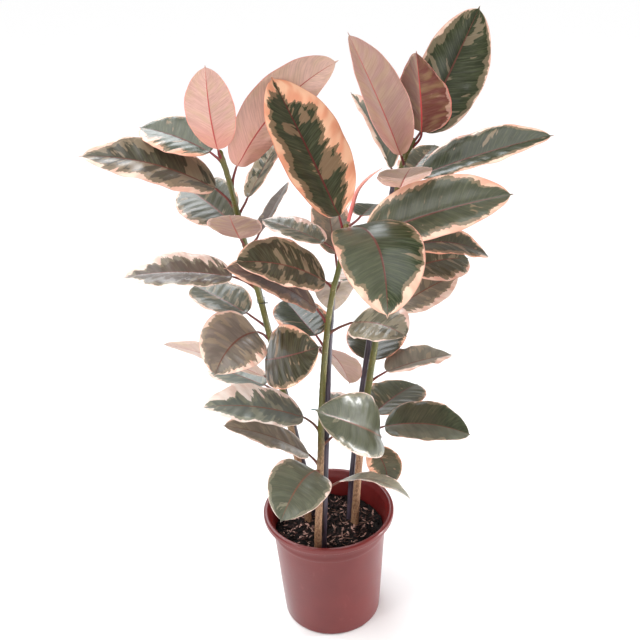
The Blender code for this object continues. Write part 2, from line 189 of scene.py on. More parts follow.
def pot_grid():
    """The pot's profile carried round the axis: up the outside, over the rolled lip, down the inside."""
    outside = [(0.012, 0.0), (0.04, 0.0), (0.075, 0.0)]  # the underside, from the middle out
    foot = arc(FOOT - FOOT_ROUND, FOOT_ROUND, FOOT_ROUND, -90, 0, 7)
    side = [(wall(z) - drawn_in(z), z) for z in (0.03, 0.07, 0.11, 0.15, 0.18)]
    step = [(wall(STEP) - 0.0011, STEP - 0.0010), (wall(STEP) - 0.0010, STEP - 0.0002),
            (wall(STEP) + 0.0001, STEP + 0.0002), (wall(STEP) + 0.0004, STEP + 0.0009),
            (wall(STEP) + 0.0005, STEP + 0.0072), (wall(STEP) + 0.0001, STEP + 0.0080)]
    neck = [(wall(0.205), 0.205), (wall(LIP_LOW), LIP_LOW - 0.0035),
            (wall(LIP_LOW) + 0.0003, LIP_LOW - 0.0010)]
    under = arc(wall(LIP_LOW) + 0.0018, LIP_LOW - 0.0010, 0.0015, 180, 90, 4)
    lip = np.concatenate([arc(RIM - LIP_ROUND, LIP_LOW + LIP_ROUND, LIP_ROUND, -90, 0, 5),
                          arc(RIM - CROWN_ROUND, POT_TOP - CROWN_ROUND, CROWN_ROUND, 0, 90, 8),
                          arc(RIM - 0.0062, POT_TOP - MOUTH_ROUND, MOUTH_ROUND, 90, 165, 5)])
    inside = [(wall(LIP_LOW) + 0.0010, LIP_LOW + 0.0020), (wall(LIP_LOW) - WALL, LIP_LOW - 0.0030),
              (wall(STEP) - WALL, STEP + 0.0010), (wall(STEP) - WALL - 0.0009, STEP - 0.0012)]
    inside += [(wall(z) - WALL - drawn_in(z), z) for z in (0.18, 0.15, 0.11, 0.07, 0.03, 0.009)]
    floor = [(FOOT - FOOT_ROUND, FLOOR), (0.04, FLOOR), (0.012, FLOOR)]
    profile = np.concatenate([outside, foot, side, step, neck, under, lip, inside, floor])
    turn = np.arange(POT_SIDES) * tau / POT_SIDES
    radius, height = profile[:, :1], profile[:, 1:]
    return np.stack([radius * np.cos(turn), radius * np.sin(turn), height + 0 * turn], axis=-1)


def pot_plastic():
    """Terracotta plastic: faint clouding, paler scuffs, and fine rings left round it by the mould."""
    add = recipe("pot_plastic", coat=0.30, coat_roughness=0.20, specular=0.35)
    place = add.place()
    cloud = add.noise(place, 9, 3, 0.55)
    scuff = add.noise(place, 60, 4, 0.7, stretch=(1, 1, 0.35))
    rub = add.ramp(scuff, 0.62, 0.78, 0.0, 0.35)
    base = add.mix(add.ramp(cloud, 0.3, 0.7), tint(101, 28, 27), tint(113, 36, 34))
    colour = add.mix(rub, base, tint(150, 70, 65))
    grain = add.noise(place, 700, 2, 0.5, stretch=(0.06, 0.06, 1))
    return add.finish(colour, add.ramp(cloud, 0.3, 0.7, 0.30, 0.40), grain, 0.0003, 0.5)


def cut_base(pot):
    """Drain holes and drainage channels taken out of the pot's floor by Booleans, then applied."""
    turn = np.arange(24) * tau / 24
    below, above = -0.01, 0.02
    cutters = []
    for k in range(HOLES):
        x, y = HOLE_CIRCLE * cos(k * tau / HOLES), HOLE_CIRCLE * sin(k * tau / HOLES)
        ring = np.stack([x + HOLE_RADIUS * np.cos(turn), y + HOLE_RADIUS * np.sin(turn), 0 * turn], axis=-1)
        cutters.append(skin(f"drain_{k}", np.stack([ring + [0, 0, below], ring + [0, 0, above]]), []))
    oblong = np.array([(CHANNEL_FROM, -CHANNEL_HALF), (CHANNEL_TO, -CHANNEL_HALF),
                       (CHANNEL_TO, CHANNEL_HALF), (CHANNEL_FROM, CHANNEL_HALF)])
    for k in range(4):
        quarter = k * pi / 2
        flat = oblong @ np.array([[cos(quarter), sin(quarter)], [-sin(quarter), cos(quarter)]])
        box = np.stack([np.column_stack([flat, np.full(4, z)]) for z in (below, CHANNEL_DEPTH)])
        cutters.append(skin(f"channel_{k}", box, [], sharp=20))
    for cutter in cutters:
        boolean = pot.modifiers.new(cutter.name, "BOOLEAN")
        boolean.operation, boolean.solver, boolean.object = "DIFFERENCE", "MANIFOLD", cutter
    shaped = pot.evaluated_get(bpy.context.evaluated_depsgraph_get())
    finished = bpy.data.meshes.new_from_object(shaped)
    pot.modifiers.clear()
    pot.data = finished
    finished.set_sharp_from_angle(angle=radians(35))
    for cutter in cutters:
        bpy.data.objects.remove(cutter)


pot = skin("nursery_pot", pot_grid(), [pot_plastic()], sharp=35)
cut_base(pot)
belongs(pot, "pot_plastic", "pot")

# ---------------------------------------------------------------------------------------------
# Potting mix. Dark damp compost filling the pot to 4 cm below the rim, lumpy on top, strewn with
# bark chips and a few pale root fibres. It is loose; the stems and stakes stand in it.
# ---------------------------------------------------------------------------------------------

draw = np.random.default_rng(7)
soil_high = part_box("soil")[1]
SOIL_TOP, SOIL_RADIUS = soil_high[2], soil_high[0]
SOIL_GAP, SOIL_DISH, SOIL_SUNK, LUMP_SHARE = 0.0012, 0.0035, 0.001, 0.8
SPLINTER_CLEAR = 0.004


def lumps(x, y):
    """Height of the compost's lumps: a sum of crossed sine waves at several scales."""
    height = 0 * x
    for size, tall in ((0.031, 0.0012), (0.014, 0.0010), (0.0071, 0.0008), (0.0037, 0.0005)):
        for k in range(3):
            angle, shift = 1.1 * k + 40 * size, 300 * size * (k + 1)
            height = height + tall * np.sin((x * np.cos(angle) + y * np.sin(angle)) * tau / size + shift)
    return height


def surface_height(share, x, y):
    """The lumpy surface falls away from the middle with the square of the share of the way out."""
    return SOIL_TOP - SOIL_DISH * share**2 + LUMP_SHARE * lumps(x, y) - SOIL_SUNK


def soil_grid():
    """Rings from the middle of the surface out to the wall, down it and in along the floor."""
    share = np.linspace(0.005, 1, 58)[:, None]
    turn = np.arange(150) * tau / 150
    radius = share * (SOIL_RADIUS - SOIL_GAP)
    x, y = radius * np.cos(turn), radius * np.sin(turn)
    surface = np.stack([x, y, surface_height(share, x, y)], axis=-1)
    slope = (wall(SOIL_TOP) - wall(0.01)) / (SOIL_TOP - 0.01)
    sides = []
    for z in (0.176, 0.15, 0.11, 0.07, 0.03, 0.010):
        radius = SOIL_RADIUS - SOIL_GAP - slope * (SOIL_TOP - z)
        sides.append(np.stack([radius * np.cos(turn), radius * np.sin(turn), z + 0 * turn], axis=-1))
    sides.append(sides[-1] * [0.97, 0.97, 0] + [0, 0, FLOOR + 0.0004])
    sides.append(sides[-1] * [0.02, 0.02, 1])
    return np.concatenate([surface, np.stack(sides)])[::-1]


def compost():
    """Near black compost: crumbs of brown and grey, damp and dull, with small pale grit."""
    add = recipe("compost", specular=0.2)
    place = add.place()
    crumbs = add.noise(place, 260, 4, 0.7)
    grit = add.noise(place, 520, 2, 0.5, shift=(3, 1, 2))
    colour = add.mix(add.ramp(crumbs, 0.35, 0.7), tint(5, 4, 4), tint(34, 25, 23))
    colour = add.mix(add.ramp(grit, 0.68, 0.74), colour, tint(120, 104, 94))
    return add.finish(colour, add.ramp(crumbs, 0.3, 0.7, 0.6, 0.9), crumbs, 0.003, 0.8)


def spun(first, second, angle):
    """Two coordinates of every splinter's points, turned by that splinter's own angle."""
    cosine, sine = np.cos(angle)[:, None, None], np.sin(angle)[:, None, None]
    return first * cosine - second * sine, first * sine + second * cosine


def scatter(name, count, size, material, lift, bend):
    """Many small splinters in one mesh: a 3 by 6 barrel each, tapered and bent, laid at random.

    Size is the least and most of length, breadth and thickness. Lift is the height of a splinter's
    middle over the surface, as a share of its thickness, and bend how far it curls at its ends.
    """
    around = np.arange(6) * tau / 6
    along = np.array([-1, -0.45, 0.4, 1])
    body = np.stack([np.broadcast_to(along[:, None], (4, 6)),
                     np.array([0.25, 1, 0.9, 0.2])[:, None] * np.cos(around),
                     np.array([0.3, 1, 0.9, 0.25])[:, None] * np.sin(around)], axis=-1)
    length, broad, thick = (draw.uniform(low, high, count) for low, high in size)
    shape = body[None] * np.stack([length, broad, thick], axis=-1)[:, None, None, :] / 2
    shape = shape * draw.uniform(0.75, 1.25, shape.shape)
    shape[..., 2] += bend * (shape[..., 0] ** 2) / length[:, None, None]
    yaw = draw.uniform(0, tau, count)
    tilt = draw.normal(0, 0.28, count)
    spin = draw.uniform(-0.5, 0.5, count)
    y, z = spun(shape[..., 1], shape[..., 2], spin)
    x, z = spun(shape[..., 0], z, tilt)
    x, y = spun(x, y, yaw)
    radius = (SOIL_RADIUS - SPLINTER_CLEAR - length / 2) * np.sqrt(draw.uniform(0.0, 1, count))
    turn = draw.uniform(0, tau, count)
    east, north = radius * np.cos(turn), radius * np.sin(turn)
    ground = surface_height(radius / SOIL_RADIUS, east, north)
    place = np.stack([east, north, ground + lift * thick], axis=-1)[:, None, None, :]
    points = np.stack([x, y, z], axis=-1) + place
    r, c = np.mgrid[0:3, 0:6]
    a, b = r * 6 + c, r * 6 + (c + 1) % 6
    quads = np.stack([a, b, b + 6, a + 6], axis=-1).reshape(-1, 4)
    quads = np.concatenate([quads, [[0, 3, 2, 1], [0, 5, 4, 3], [18, 19, 20, 21], [18, 21, 22, 23]]])
    faces = (quads[None] + 24 * np.arange(count)[:, None, None]).reshape(-1, 4)
    mesh = bpy.data.meshes.new(name)
    mesh.from_pydata(points.reshape(-1, 3), [], faces)
    shade = mesh.attributes.new("shade", "FLOAT", "POINT")
    shade.data.foreach_set("value", np.repeat(draw.uniform(0, 1, count), 24))
    mesh.materials.append(material)
    piece = bpy.data.objects.new(name, mesh)
    bpy.context.scene.collection.objects.link(piece)
    return belongs(piece, "soil")


def chip_bark(name, dark, middle, pale):
    """Splinters of bark or root: each keeps one shade from dark to pale, under a fine dark grain."""
    add = recipe(name, specular=0.2)
    shade = add("Attribute", out=2, attribute_name="shade")
    fibre = add.noise(add.place(), 420, 3, 0.6)
    colour = add.mix(add.ramp(shade, 0.25, 0.75), dark, middle)
    colour = add.mix(add.ramp(shade, 0.74, 0.92), colour, pale)
    colour = add.mix(add.ramp(fibre, 0.35, 0.7, 0.0, 0.45), colour, dark)
    return add.finish(colour, 0.8, fibre, 0.0015, 0.6)


belongs(skin("potting_mix", soil_grid(), [compost()], sharp=80), "soil", "soil")
chips = chip_bark("bark_chips", tint(8, 6, 6), tint(72, 50, 46), tint(196, 158, 146))
fibres = chip_bark("root_fibres", tint(104, 78, 66), tint(150, 116, 100), tint(196, 164, 148))
scatter("bark_chips", 900, ((0.004, 0.013), (0.0020, 0.0046), (0.0012, 0.0030)), chips, 0.35, 0.3)
scatter("root_fibres", 40, ((0.012, 0.030), (0.0008, 0.0016), (0.0006, 0.0012)), fibres, 2.6, 0.5)

# ---------------------------------------------------------------------------------------------
# Stems. Three living stems, woody and brown at the foot and green above, with a raised ring
# where each leaf sheath fell and a swelling under each leaf stalk. They are rooted in the mix.
# ---------------------------------------------------------------------------------------------

STEM_SIDES, STEM_CAP, STEM_WAVER = 28, 0.006, 0.00025
RING_SPACING, RING_SWELL, STALK_BUMP = 0.031, 0.00035, 0.0012


def unit(vectors):
    """Vectors along the last axis, each brought to length one."""
    return vectors / np.linalg.norm(vectors, axis=-1, keepdims=True)


def corners_of(node):
    """The distinct corners of a CAD node, and its triangles as rows of three of them."""
    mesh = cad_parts[node].data
    points = np.empty(3 * len(mesh.vertices))
    mesh.vertices.foreach_get("co", points)
    order = np.empty(len(mesh.loops), np.int32)
    mesh.loops.foreach_get("vertex_index", order)
    places, index = np.unique(np.round(points.reshape(-1, 3), 6), axis=0, return_inverse=True)
    return places, index.reshape(-1)[order].reshape(-1, 3)


def rod_line(node):
    """Middle and radius of each ring of a CAD rod, from its foot up. Rings lie over 4 mm apart."""
    places, _ = corners_of(node)
    places = places[np.argsort(places[:, 2])]
    rings = np.split(places, np.flatnonzero(np.diff(places[:, 2]) > 0.004) + 1)
    middles = np.array([ring.mean(axis=0) for ring in rings])
    radii = [np.linalg.norm(ring - middle, axis=1).mean() for ring, middle in zip(rings, middles)]
    return middles, np.array(radii)


def follow(stations, values, at):
    """A smooth cubic through values at uneven stations, each leaving with its neighbours' mean slope."""
    slopes = np.gradient(values, stations, axis=0)
    i = np.clip(np.searchsorted(stations, at, side="right") - 1, 0, len(stations) - 2)
    span = stations[i + 1] - stations[i]
    t = (at - stations[i]) / span
    shape = (slice(None),) + (None,) * (values.ndim - 1)
    t, span = t[shape], span[shape]
    return ((2 * t**3 - 3 * t**2 + 1) * values[i] + (t**3 - 2 * t**2 + t) * span * slopes[i]
            + (3 * t**2 - 2 * t**3) * values[i + 1] + (t**3 - t**2) * span * slopes[i + 1])


def lengths_along(points):
    """The way along a line of points, from the first to each."""
    return np.concatenate([[0], np.cumsum(np.linalg.norm(np.diff(points, axis=0), axis=1))])


def spokes(line, turn):
    """At each point of a nearly upright line, the directions square to it at the given turns."""
    ahead = unit(np.gradient(line, axis=0))
    east = unit(np.cross([0.0, 1.0, 0.0], ahead))
    north = np.cross(ahead, east)
    return east[:, None] * np.cos(turn)[:, None] + north[:, None] * np.sin(turn)[:, None]


def leaf_rings(node):
    """A CAD leaf's thirteen rings of eight points, foot to tip: right edge, upper right, midrib,
    upper left, left edge, lower left, keel, lower right.

    The point with most triangles is the last of the foot ring. The foot's flat cap is the fan of
    six level triangles about it, and each next ring is read across the triangles of the one before.
    """
    places, triangles = corners_of(node)
    across = np.full((len(places), len(places)), -1)
    for a, b, c in ((0, 1, 2), (1, 2, 0), (2, 0, 1)):
        across[triangles[:, a], triangles[:, b]] = triangles[:, c]
    hub = np.bincount(triangles.ravel()).argmax()
    fan = [int(np.flatnonzero(across[hub] >= 0)[0])]
    while across[hub, fan[-1]] != fan[0]:
        fan.append(int(across[hub, fan[-1]]))
    fan = np.array(fan)
    spokes = places[fan] - places[hub]
    facing = unit(np.cross(spokes, np.roll(spokes, -1, axis=0)))
    level = [np.linalg.norm(np.roll(facing, -k, axis=0)[:6].sum(axis=0)) for k in range(len(fan))]
    rings = [np.append(np.roll(fan, -int(np.argmax(level)))[:7], hub)]
    for _ in range(12):
        ring = rings[-1]
        seen = across[np.roll(ring, -1), ring]
        first, fifth = across[ring[0], seen[7]], across[ring[4], seen[3]]
        rings.append(np.array([first, seen[0], seen[1], seen[3], fifth, seen[4], seen[5], seen[7]]))
    return places[np.array(rings)]


def bark():
    """Stem skin: grey brown and woody low down, yellow green above, darker towards the tips, with
    pale pores, brown flecks and a browner tone on the rings."""
    add = recipe("bark", coat=0.15, coat_roughness=0.35)
    place = add.place()
    height = add("SeparateXYZ", {0: place}, out=2)
    cloud = add.noise(place, 38, 3, 0.6, stretch=(1, 1, 0.35))
    fleck = add.noise(place, 330, 3, 0.6, stretch=(1, 1, 0.45))
    pores = add.noise(place, 420, 1, 0.4, shift=(2, 5, 1))
    ring = add("Attribute", out=2, attribute_name="ring")
    wooded = add.plus(height, add.times(cloud, 0.14))
    green = add.mix(add.ramp(cloud, 0.3, 0.7), tint(80, 86, 34), tint(114, 108, 54))
    green = add.mix(add.ramp(height, 0.70, 0.92), green, tint(96, 92, 40))
    wood = add.mix(add.ramp(fleck, 0.35, 0.65), tint(120, 86, 62), tint(168, 130, 98))
    colour = add.mix(add.ramp(wooded, 0.42, 0.53), wood, green)
    colour = add.mix(add.ramp(pores, 0.66, 0.74, 0.0, 0.55), colour, tint(196, 170, 120))
    colour = add.mix(add.ramp(fleck, 0.62, 0.74, 0.0, 0.5), colour, tint(104, 70, 42))
    colour = add.mix(add.ramp(ring, 0.25, 1.0, 0.0, 0.6), colour, tint(118, 78, 52))
    return add.finish(colour, add.ramp(wooded, 0.42, 0.53, 0.7, 0.42), fleck, 0.0008, 0.5)


def stem_piece(name, node, leaves, material):
    """A tube along the CAD stem's line. Its radius swells in a narrow band at every old leaf ring and
    in a soft bump under each leaf stalk's foot, wavers slightly all the way up, and closes over the
    top in a quarter ellipse."""
    middles, radii = rod_line(node)
    length = lengths_along(middles)
    top = length[-1]
    at = np.concatenate([np.arange(0, top - STEM_CAP, 0.0032), top - STEM_CAP * np.linspace(1, 0, 8) ** 1.6])
    line, radius = follow(length, middles, at), np.interp(at, length, radii)
    height = line[:, 2:]
    turn = np.arange(STEM_SIDES) * tau / STEM_SIDES
    outward = spokes(line, turn)
    feet = np.array([leaf_rings(leaf)[0].mean(axis=0) for leaf in leaves])
    old = np.arange(SOIL_TOP + 0.028, feet[:, 2].min(), RING_SPACING)
    levels = np.concatenate([feet[:, 2] + 0.004, old + 0.006 * np.sin(17 * old)])
    band = np.exp(-(((height - levels) / 0.0011) ** 2)).sum(axis=1)
    waver = np.sin(height * 410 + 3 * turn) * np.sin(2 * turn + 9 * height)
    swell = RING_SWELL * band[:, None] + STEM_WAVER * waver
    surface = line[:, None] + outward * (radius[:, None] + swell)[..., None]
    reach = np.linalg.norm((surface[:, :, None] - feet) * [1, 1, 0.62], axis=-1)
    bump = (STALK_BUMP * np.exp(-((reach / 0.0038) ** 2))).sum(axis=-1)
    over = np.clip(at - (top - STEM_CAP), 0, None) / (STEM_CAP + 0.0001)
    closing = np.sqrt(np.clip(1 - over**2, 0, 1))
    surface = line[:, None] + outward * ((radius[:, None] + swell + bump) * closing[:, None])[..., None]
    piece = skin(name, surface, [material], sharp=80)
    flush = np.append(np.repeat(np.clip(band, 0, 1), STEM_SIDES), [0, 0])
    ring = piece.data.attributes.new("ring", "FLOAT", "POINT")
    ring.data.foreach_set("value", flush.astype(np.float32))
    return belongs(piece, "stem", node)


stem_bark = bark()
for side in ("left", "centre", "right"):
    own = sorted(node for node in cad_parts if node.startswith(f"leaf_{side}_"))
    stem_piece(f"living_stem_{side}", f"stem_{side}", own, stem_bark)

# ---------------------------------------------------------------------------------------------
# Stakes. Three thin canes in a dark plastic coat with a faint violet tone, cut off square at the
# top with a small bevel, and pushed into the mix close behind or in front of their stems.
# ---------------------------------------------------------------------------------------------


def cane_coat():
    """Dark grey violet plastic, clouded and worn in streaks that run up the cane."""
    add = recipe("cane_coat", coat=0.35, coat_roughness=0.3)
    place = add.place()
    wear = add.noise(place, 90, 4, 0.65, stretch=(1, 1, 0.2))
    colour = add.mix(add.ramp(wear, 0.3, 0.7), tint(38, 33, 41), tint(84, 73, 88))
    colour = add.mix(add.ramp(wear, 0.66, 0.8, 0.0, 0.5), colour, tint(96, 84, 104))
    return add.finish(colour, add.ramp(wear, 0.3, 0.7, 0.32, 0.55), wear, 0.0004, 0.4)


def stake_piece(name, node, material):
    """A tube along the CAD stake's line with a bevelled top and a slight knuckle halfway along each
    stretch of 12 cm, where the radius rises and falls as a bell curve."""
    knuckle_spacing, knuckle_rise, knuckle_reach = 0.12, 0.00025, 0.004
    middles, radii = rod_line(node)
    length = lengths_along(middles)
    top = length[-1]
    at = np.concatenate([np.arange(0, top - 0.002, 0.006), [top - 0.0010, top - 0.0004, top]])
    line = follow(length, middles, at)
    off = at % knuckle_spacing - knuckle_spacing / 2
    radius = radii[0] - 0.0002 + knuckle_rise * np.exp(-((off / knuckle_reach) ** 2))
    radius[-2:] -= [0.0003, 0.0011]
    outward = spokes(line, np.arange(20) * tau / 20)
    piece = skin(name, line[:, None] + outward * radius[:, None, None], [material], sharp=50)
    return belongs(piece, "stake_plastic", node)


stake_coat = cane_coat()
for side in ("left", "centre", "right"):
    stake_piece(f"cane_{side}", f"stake_{side}", stake_coat)

# ---------------------------------------------------------------------------------------------
# Ties. Soft plastic coated garden wire, passed once round a stem and its cane, the two ends
# twisted together and bent away.
# ---------------------------------------------------------------------------------------------


def wire_coat(name, colour, worn):
    """Soft plastic on garden wire: one colour, worn through to a paler one in small specks."""
    add = recipe(name, coat=0.2)
    wear = add.noise(add.place(), 500, 3, 0.6)
    return add.finish(add.mix(add.ramp(wear, 0.45, 0.7), colour, worn), 0.45, wear, 0.0003, 0.4)


def cord_grid(line, radius, sides=10):
    """A round tube of one radius along any smooth line, its section square to the line."""
    ahead = unit(np.gradient(line, axis=0))
    level = unit(np.cross(ahead, [0.0, 0.05, 1.0]))
    rise = np.cross(level, ahead)
    turn = np.arange(sides) * tau / sides
    section = level[:, None] * np.cos(turn)[:, None] - rise[:, None] * np.sin(turn)[:, None]
    return line[:, None] + radius * section


def tie_piece(name, node, material, away):
    """The loop's line is the belt round stem and cane: each way out from the belt's middle, the
    farthest of the two rods' circles. Both ends leave the loop side by side as a two-turn helix,
    on the side that is away, in degrees from east."""
    clearance, tail_length, tail_climb = 0.0005, 0.011, 0.45
    side = node.split("_")[1]
    low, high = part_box(node)
    level, wire = (low[2] + high[2]) / 2, (high[2] - low[2]) / 2
    rods = []
    for rod in ("stem_" + side, "stake_" + side):
        middles, radii = rod_line(rod)
        spot = [np.interp(level, middles[:, 2], middles[:, k]) for k in (0, 1)]
        rods.append((np.array(spot), np.interp(level, middles[:, 2], radii) + wire + clearance))
    middle = (rods[0][0] + rods[1][0]) / 2
    start = radians(away)
    angle = start + np.linspace(0.05, tau - 0.05, 90)
    facing = np.stack([np.cos(angle), np.sin(angle)], axis=-1)
    reach = np.max([(rod - middle) @ facing.T + radius for rod, radius in rods], axis=0)
    square = np.stack([-facing[:, 1], facing[:, 0]], axis=-1)
    loop = middle + facing * reach[:, None] + square * np.gradient(reach, angle)[:, None]
    loop = np.column_stack([loop, level + wire * 0.9 * np.linspace(-1, 1, 90)])
    out, along = np.array([cos(start), sin(start)]), np.linspace(0, 1, 30)[1:]
    tails = []
    for turned in (0.0, pi):
        twist = turned + along * 2 * tau
        run = np.array([*(middle + out * (reach[0] + clearance)), level])
        tail = run + np.outer(along * tail_length, [*out, tail_climb])
        tail += wire * np.column_stack([-out[1] * np.sin(twist), out[0] * np.sin(twist), np.cos(twist)])
        tails.append(tail)
    line = np.concatenate([tails[0][::-1], loop, tails[1]])
    length = lengths_along(line)
    at = np.linspace(0, length[-1], 190)
    line = np.stack([np.interp(at, length, line[:, k]) for k in range(3)], axis=-1)
    return belongs(skin(name, cord_grid(line, wire * 0.8), [material], sharp=80), "tie_wire", node)


dark_wire = wire_coat("dark_wire", tint(40, 44, 36), tint(70, 76, 60))
teal_wire = wire_coat("teal_wire", tint(52, 110, 104), tint(98, 150, 142))
tie_piece("wire_tie_left", "tie_left", dark_wire, -60)
tie_piece("wire_tie_centre", "tie_centre", teal_wire, -150)

# ---------------------------------------------------------------------------------------------
# Leaves. Thick waxy blades with a sunken midrib above and a raised one below, dark green and sage
# in feathered patches along the fine side veins, with a jagged cream to peach margin and a pink
# beige to red brown back. Each is one growth with its stalk, which springs from the stem.
# ---------------------------------------------------------------------------------------------

# For each leaf: margin width on the right and left half, sage patches, blush of the margin (cream
# to peach), warmth of the green (bluish below 0, partly a painted bluish sheen; brown above, partly
# painted shade on some leaves), lightness (the leaf's own tone, raised for painted sheen and lowered
# for painted shade), extra margin at the tip, ruffle, and how much paler the right half is, which
# is painted sheen on that half. All are shares, of 1 at most.
LEAF_LOOKS = {
    "left_01": (0.12, 0.15, 0.5, 0.2, -0.4, 0.85, 0.2, 0.5, 0.0),
    "left_02": (0.15, 0.2, 0.4, 0.3, 0.4, 0.5, 0.2, 0.5, 0.0),
    "left_03": (0.05, 0.07, 0.35, 0.8, 0.8, 0.0, 0.1, 0.7, 0.0),
    "left_04": (0.1, 0.22, 0.5, 0.5, 0.6, 0.9, 0.2, 0.8, 0.5),
    "left_05": (0.08, 0.08, 0.5, 0.5, 0.1, 0.30, 0.1, 0.5, 0.0),
    "left_06": (0.34, 0.05, 0.45, 0.25, 0.8, 0.42, 0.5, 0.8, 0.0),
    "left_07": (0.05, 0.05, 0.3, 0.6, 1.0, 0.30, 0.1, 0.3, 0.0),
    "left_08": (0.1, 0.1, 0.4, 0.4, 0.3, 0.0, 0.2, 0.4, 0.0),
    "left_09": (0.06, 0.08, 0.4, 0.5, 0.2, 0.18, 0.1, 0.6, 0.0),
    "left_10": (0.1, 0.15, 0.8, 0.5, 0.5, 0.02, 0.2, 0.4, 0.0),
    "left_11": (0.05, 0.22, 0.75, 0.6, 0.6, 0.26, 0.35, 0.9, -0.2),
    "left_12": (0.1, 0.1, 0.15, 0.75, 0.15, 0.7, 0.1, 0.5, 0.0),
    "left_13": (0.05, 0.36, 0.3, 0.85, 0.0, 0.25, 0.3, 0.5, 0.1),
    "left_14": (0.0, 0.0, 0.0, 0.85, 0.0, 0.35, 0.0, 0.6, 0.0),
    "centre_01": (0.15, 0.1, 0.9, 0.2, -0.1, 1.0, 0.2, 0.6, 0.0),
    "centre_02": (0.04, 0.05, 0.35, 0.25, -0.1, 0.45, 0.0, 0.6, 0.0),
    "centre_03": (0.05, 0.06, 0.5, 0.25, 0.4, 1.0, 0.1, 0.8, 0.0),
    "centre_04": (0.30, 0.30, 0.5, 0.2, 0.0, 0.70, 0.4, 0.3, 0.0),
    "centre_05": (0.38, 0.08, 0.5, 0.05, -0.5, 0.6, 0.4, 1.0, 0.0),
    "centre_06": (0.15, 0.15, 0.3, 0.6, 0.2, 0.65, 0.1, 0.4, 0.0),
    "centre_07": (0.08, 0.08, 0.3, 0.9, 0.1, 0.02, 0.1, 0.4, 0.0),
    "centre_08": (0.06, 0.22, 0.8, 0.2, 0.1, 0.45, 0.1, 0.8, 0.0),
    "centre_09": (0.1, 0.1, 0.6, 0.7, 1.0, 0.6, 0.2, 0.6, 0.0),
    "centre_10": (0.5, 0.5, 0.5, 0.0, -0.6, 0.35, 0.4, 0.3, 0.0),
    "centre_11": (0.05, 0.06, 0.55, 0.65, 0.6, 0.1, 0.1, 0.8, 0.0),
    "centre_12": (0.12, 0.12, 0.5, 0.5, 0.3, 0.9, 0.2, 0.4, 0.0),
    "centre_13": (0.25, 0.12, 0.6, 0.3, 0.0, 0.5, 0.2, 0.4, 0.0),
    "centre_14": (0.12, 0.12, 0.3, 0.75, 0.05, 0.28, 0.25, 0.6, 0.0),
    "centre_15": (0.34, 0.1, 0.45, 1.0, 0.25, 0.06, 0.75, 0.6, 0.0),
    "centre_16": (0.03, 0.03, 0.3, 0.75, 0.0, 0.16, 0.5, 0.5, 0.35),
    "centre_17": (0.1, 0.1, 0.3, 0.6, 0.0, 0.12, 0.2, 0.3, 0.0),
    "right_01": (0.28, 0.06, 0.3, 0.85, 0.1, 0.35, 0.1, 0.4, 0.0),
    "right_02": (0.03, 0.04, 0.3, 0.3, 0.0, 0.35, 0.0, 0.6, 0.0),
    "right_03": (0.02, 0.03, 0.15, 0.5, -0.05, 0.4, 0.0, 0.7, 0.5),
    "right_04": (0.04, 0.03, 0.3, 0.7, 0.1, 0.25, 0.1, 0.7, 0.1),
    "right_05": (0.22, 0.08, 0.5, 0.5, 0.3, 1.0, 0.1, 0.8, 0.0),
    "right_06": (0.04, 0.04, 0.1, 0.9, 0.6, 0.0, 0.0, 0.6, 0.0),
    "right_07": (0.25, 0.3, 0.6, 0.35, 0.3, 0.8, 0.2, 0.7, 0.0),
    "right_08": (0.50, 0.50, 0.5, 0.1, -0.5, 0.50, 0.5, 0.4, 0.0),
    "right_09": (0.14, 0.14, 0.5, 0.5, 0.1, 0.35, 0.1, 0.7, 0.0),
    "right_10": (0.05, 0.2, 0.4, 0.85, 0.4, 0.2, 0.2, 0.6, 0.0),
    "right_11": (0.1, 0.1, 0.2, 0.4, 0.1, 0.45, 0.1, 0.5, 0.0),
    "right_12": (0.1, 0.1, 0.5, 0.6, 0.3, 0.25, 0.2, 0.6, 0.0),
    "right_13": (0.05, 0.07, 0.25, 0.7, 0.15, 0.0, 0.15, 0.7, 0.0),
    "right_14": (0.3, 0.45, 0.5, 0.5, 0.0, 0.6, 0.3, 0.6, 0.0),
    "right_15": (0.0, 0.0, 0.0, 0.6, 0.2, 0.0, 0.0, 0.4, 0.0),
    "right_16": (0.1, 0.1, 0.3, 1.0, 1.0, 0.0, 0.1, 0.6, 0.4),
    "right_17": (0.04, 0.05, 0.45, 0.6, 0.1, 0.06, 0.1, 0.6, 0.0),
}
BLADE_STEPS, STALK_STEPS, HALF_STEPS = 66, 9, 14
MIDDLE_THICK, EDGE_THICK = 0.0008, 0.0004
MIDDLE_SHARE = 0.76  # where the blade's sheet lies between the CAD keel and the CAD midrib
STALK_SUNK, STALK_SHARE, STALK_FLARE = 0.0016, 0.92, 0.25
SWELL_TALL, WAVE_TALL = 0.0008, 0.0026


def leaf_outline(s):
    """Half width at a share of the blade's length, as a share of the widest: half an ellipse, its
    shoulders drawn in towards the tip, that ends blunt before it, and from there a drip tip that
    narrows evenly to a point."""
    blunt_end, drip_length, drip_slope = 0.968, 0.07, 1.2
    body = np.clip(s / blunt_end, 0, 1) ** 0.92
    oval = (4 * body * (1 - body)) ** 0.5 * (1 - 0.38 * s**7)
    drip = drip_slope * np.clip(1 - s, 0, drip_length) * np.clip((s - 0.6) / 0.3, 0, 1)
    return np.sqrt(oval**2 + drip**2)


def blade_side(u, half, width, fold, s, ruffle, phase):
    """Height of the blade over its midrib: each half climbs at the fold angle and bows over towards
    the margin, with swells along the side veins and a margin that waves and dips."""
    out = np.abs(u)
    crease = 0.10 * half
    climb = np.sin(fold) * (np.sqrt((out * width) ** 2 + crease**2) - crease) * (1.22 - 0.60 * out**2)
    vein = s - 0.12 * out
    side = np.where(u > 0, 0.0, 1.7)
    middle = 4 * s * (1 - s)
    ripple = np.sin(tau * (8.5 * vein) + side + phase) * np.sin(pi * np.clip(out, 0, 1))
    wave = np.sin(tau * 2.3 * s + phase + side) + 0.5 * np.sin(tau * 5.1 * s + 2 * phase - side)
    return climb + ruffle * middle * (SWELL_TALL * ripple + WAVE_TALL * wave * out**3)


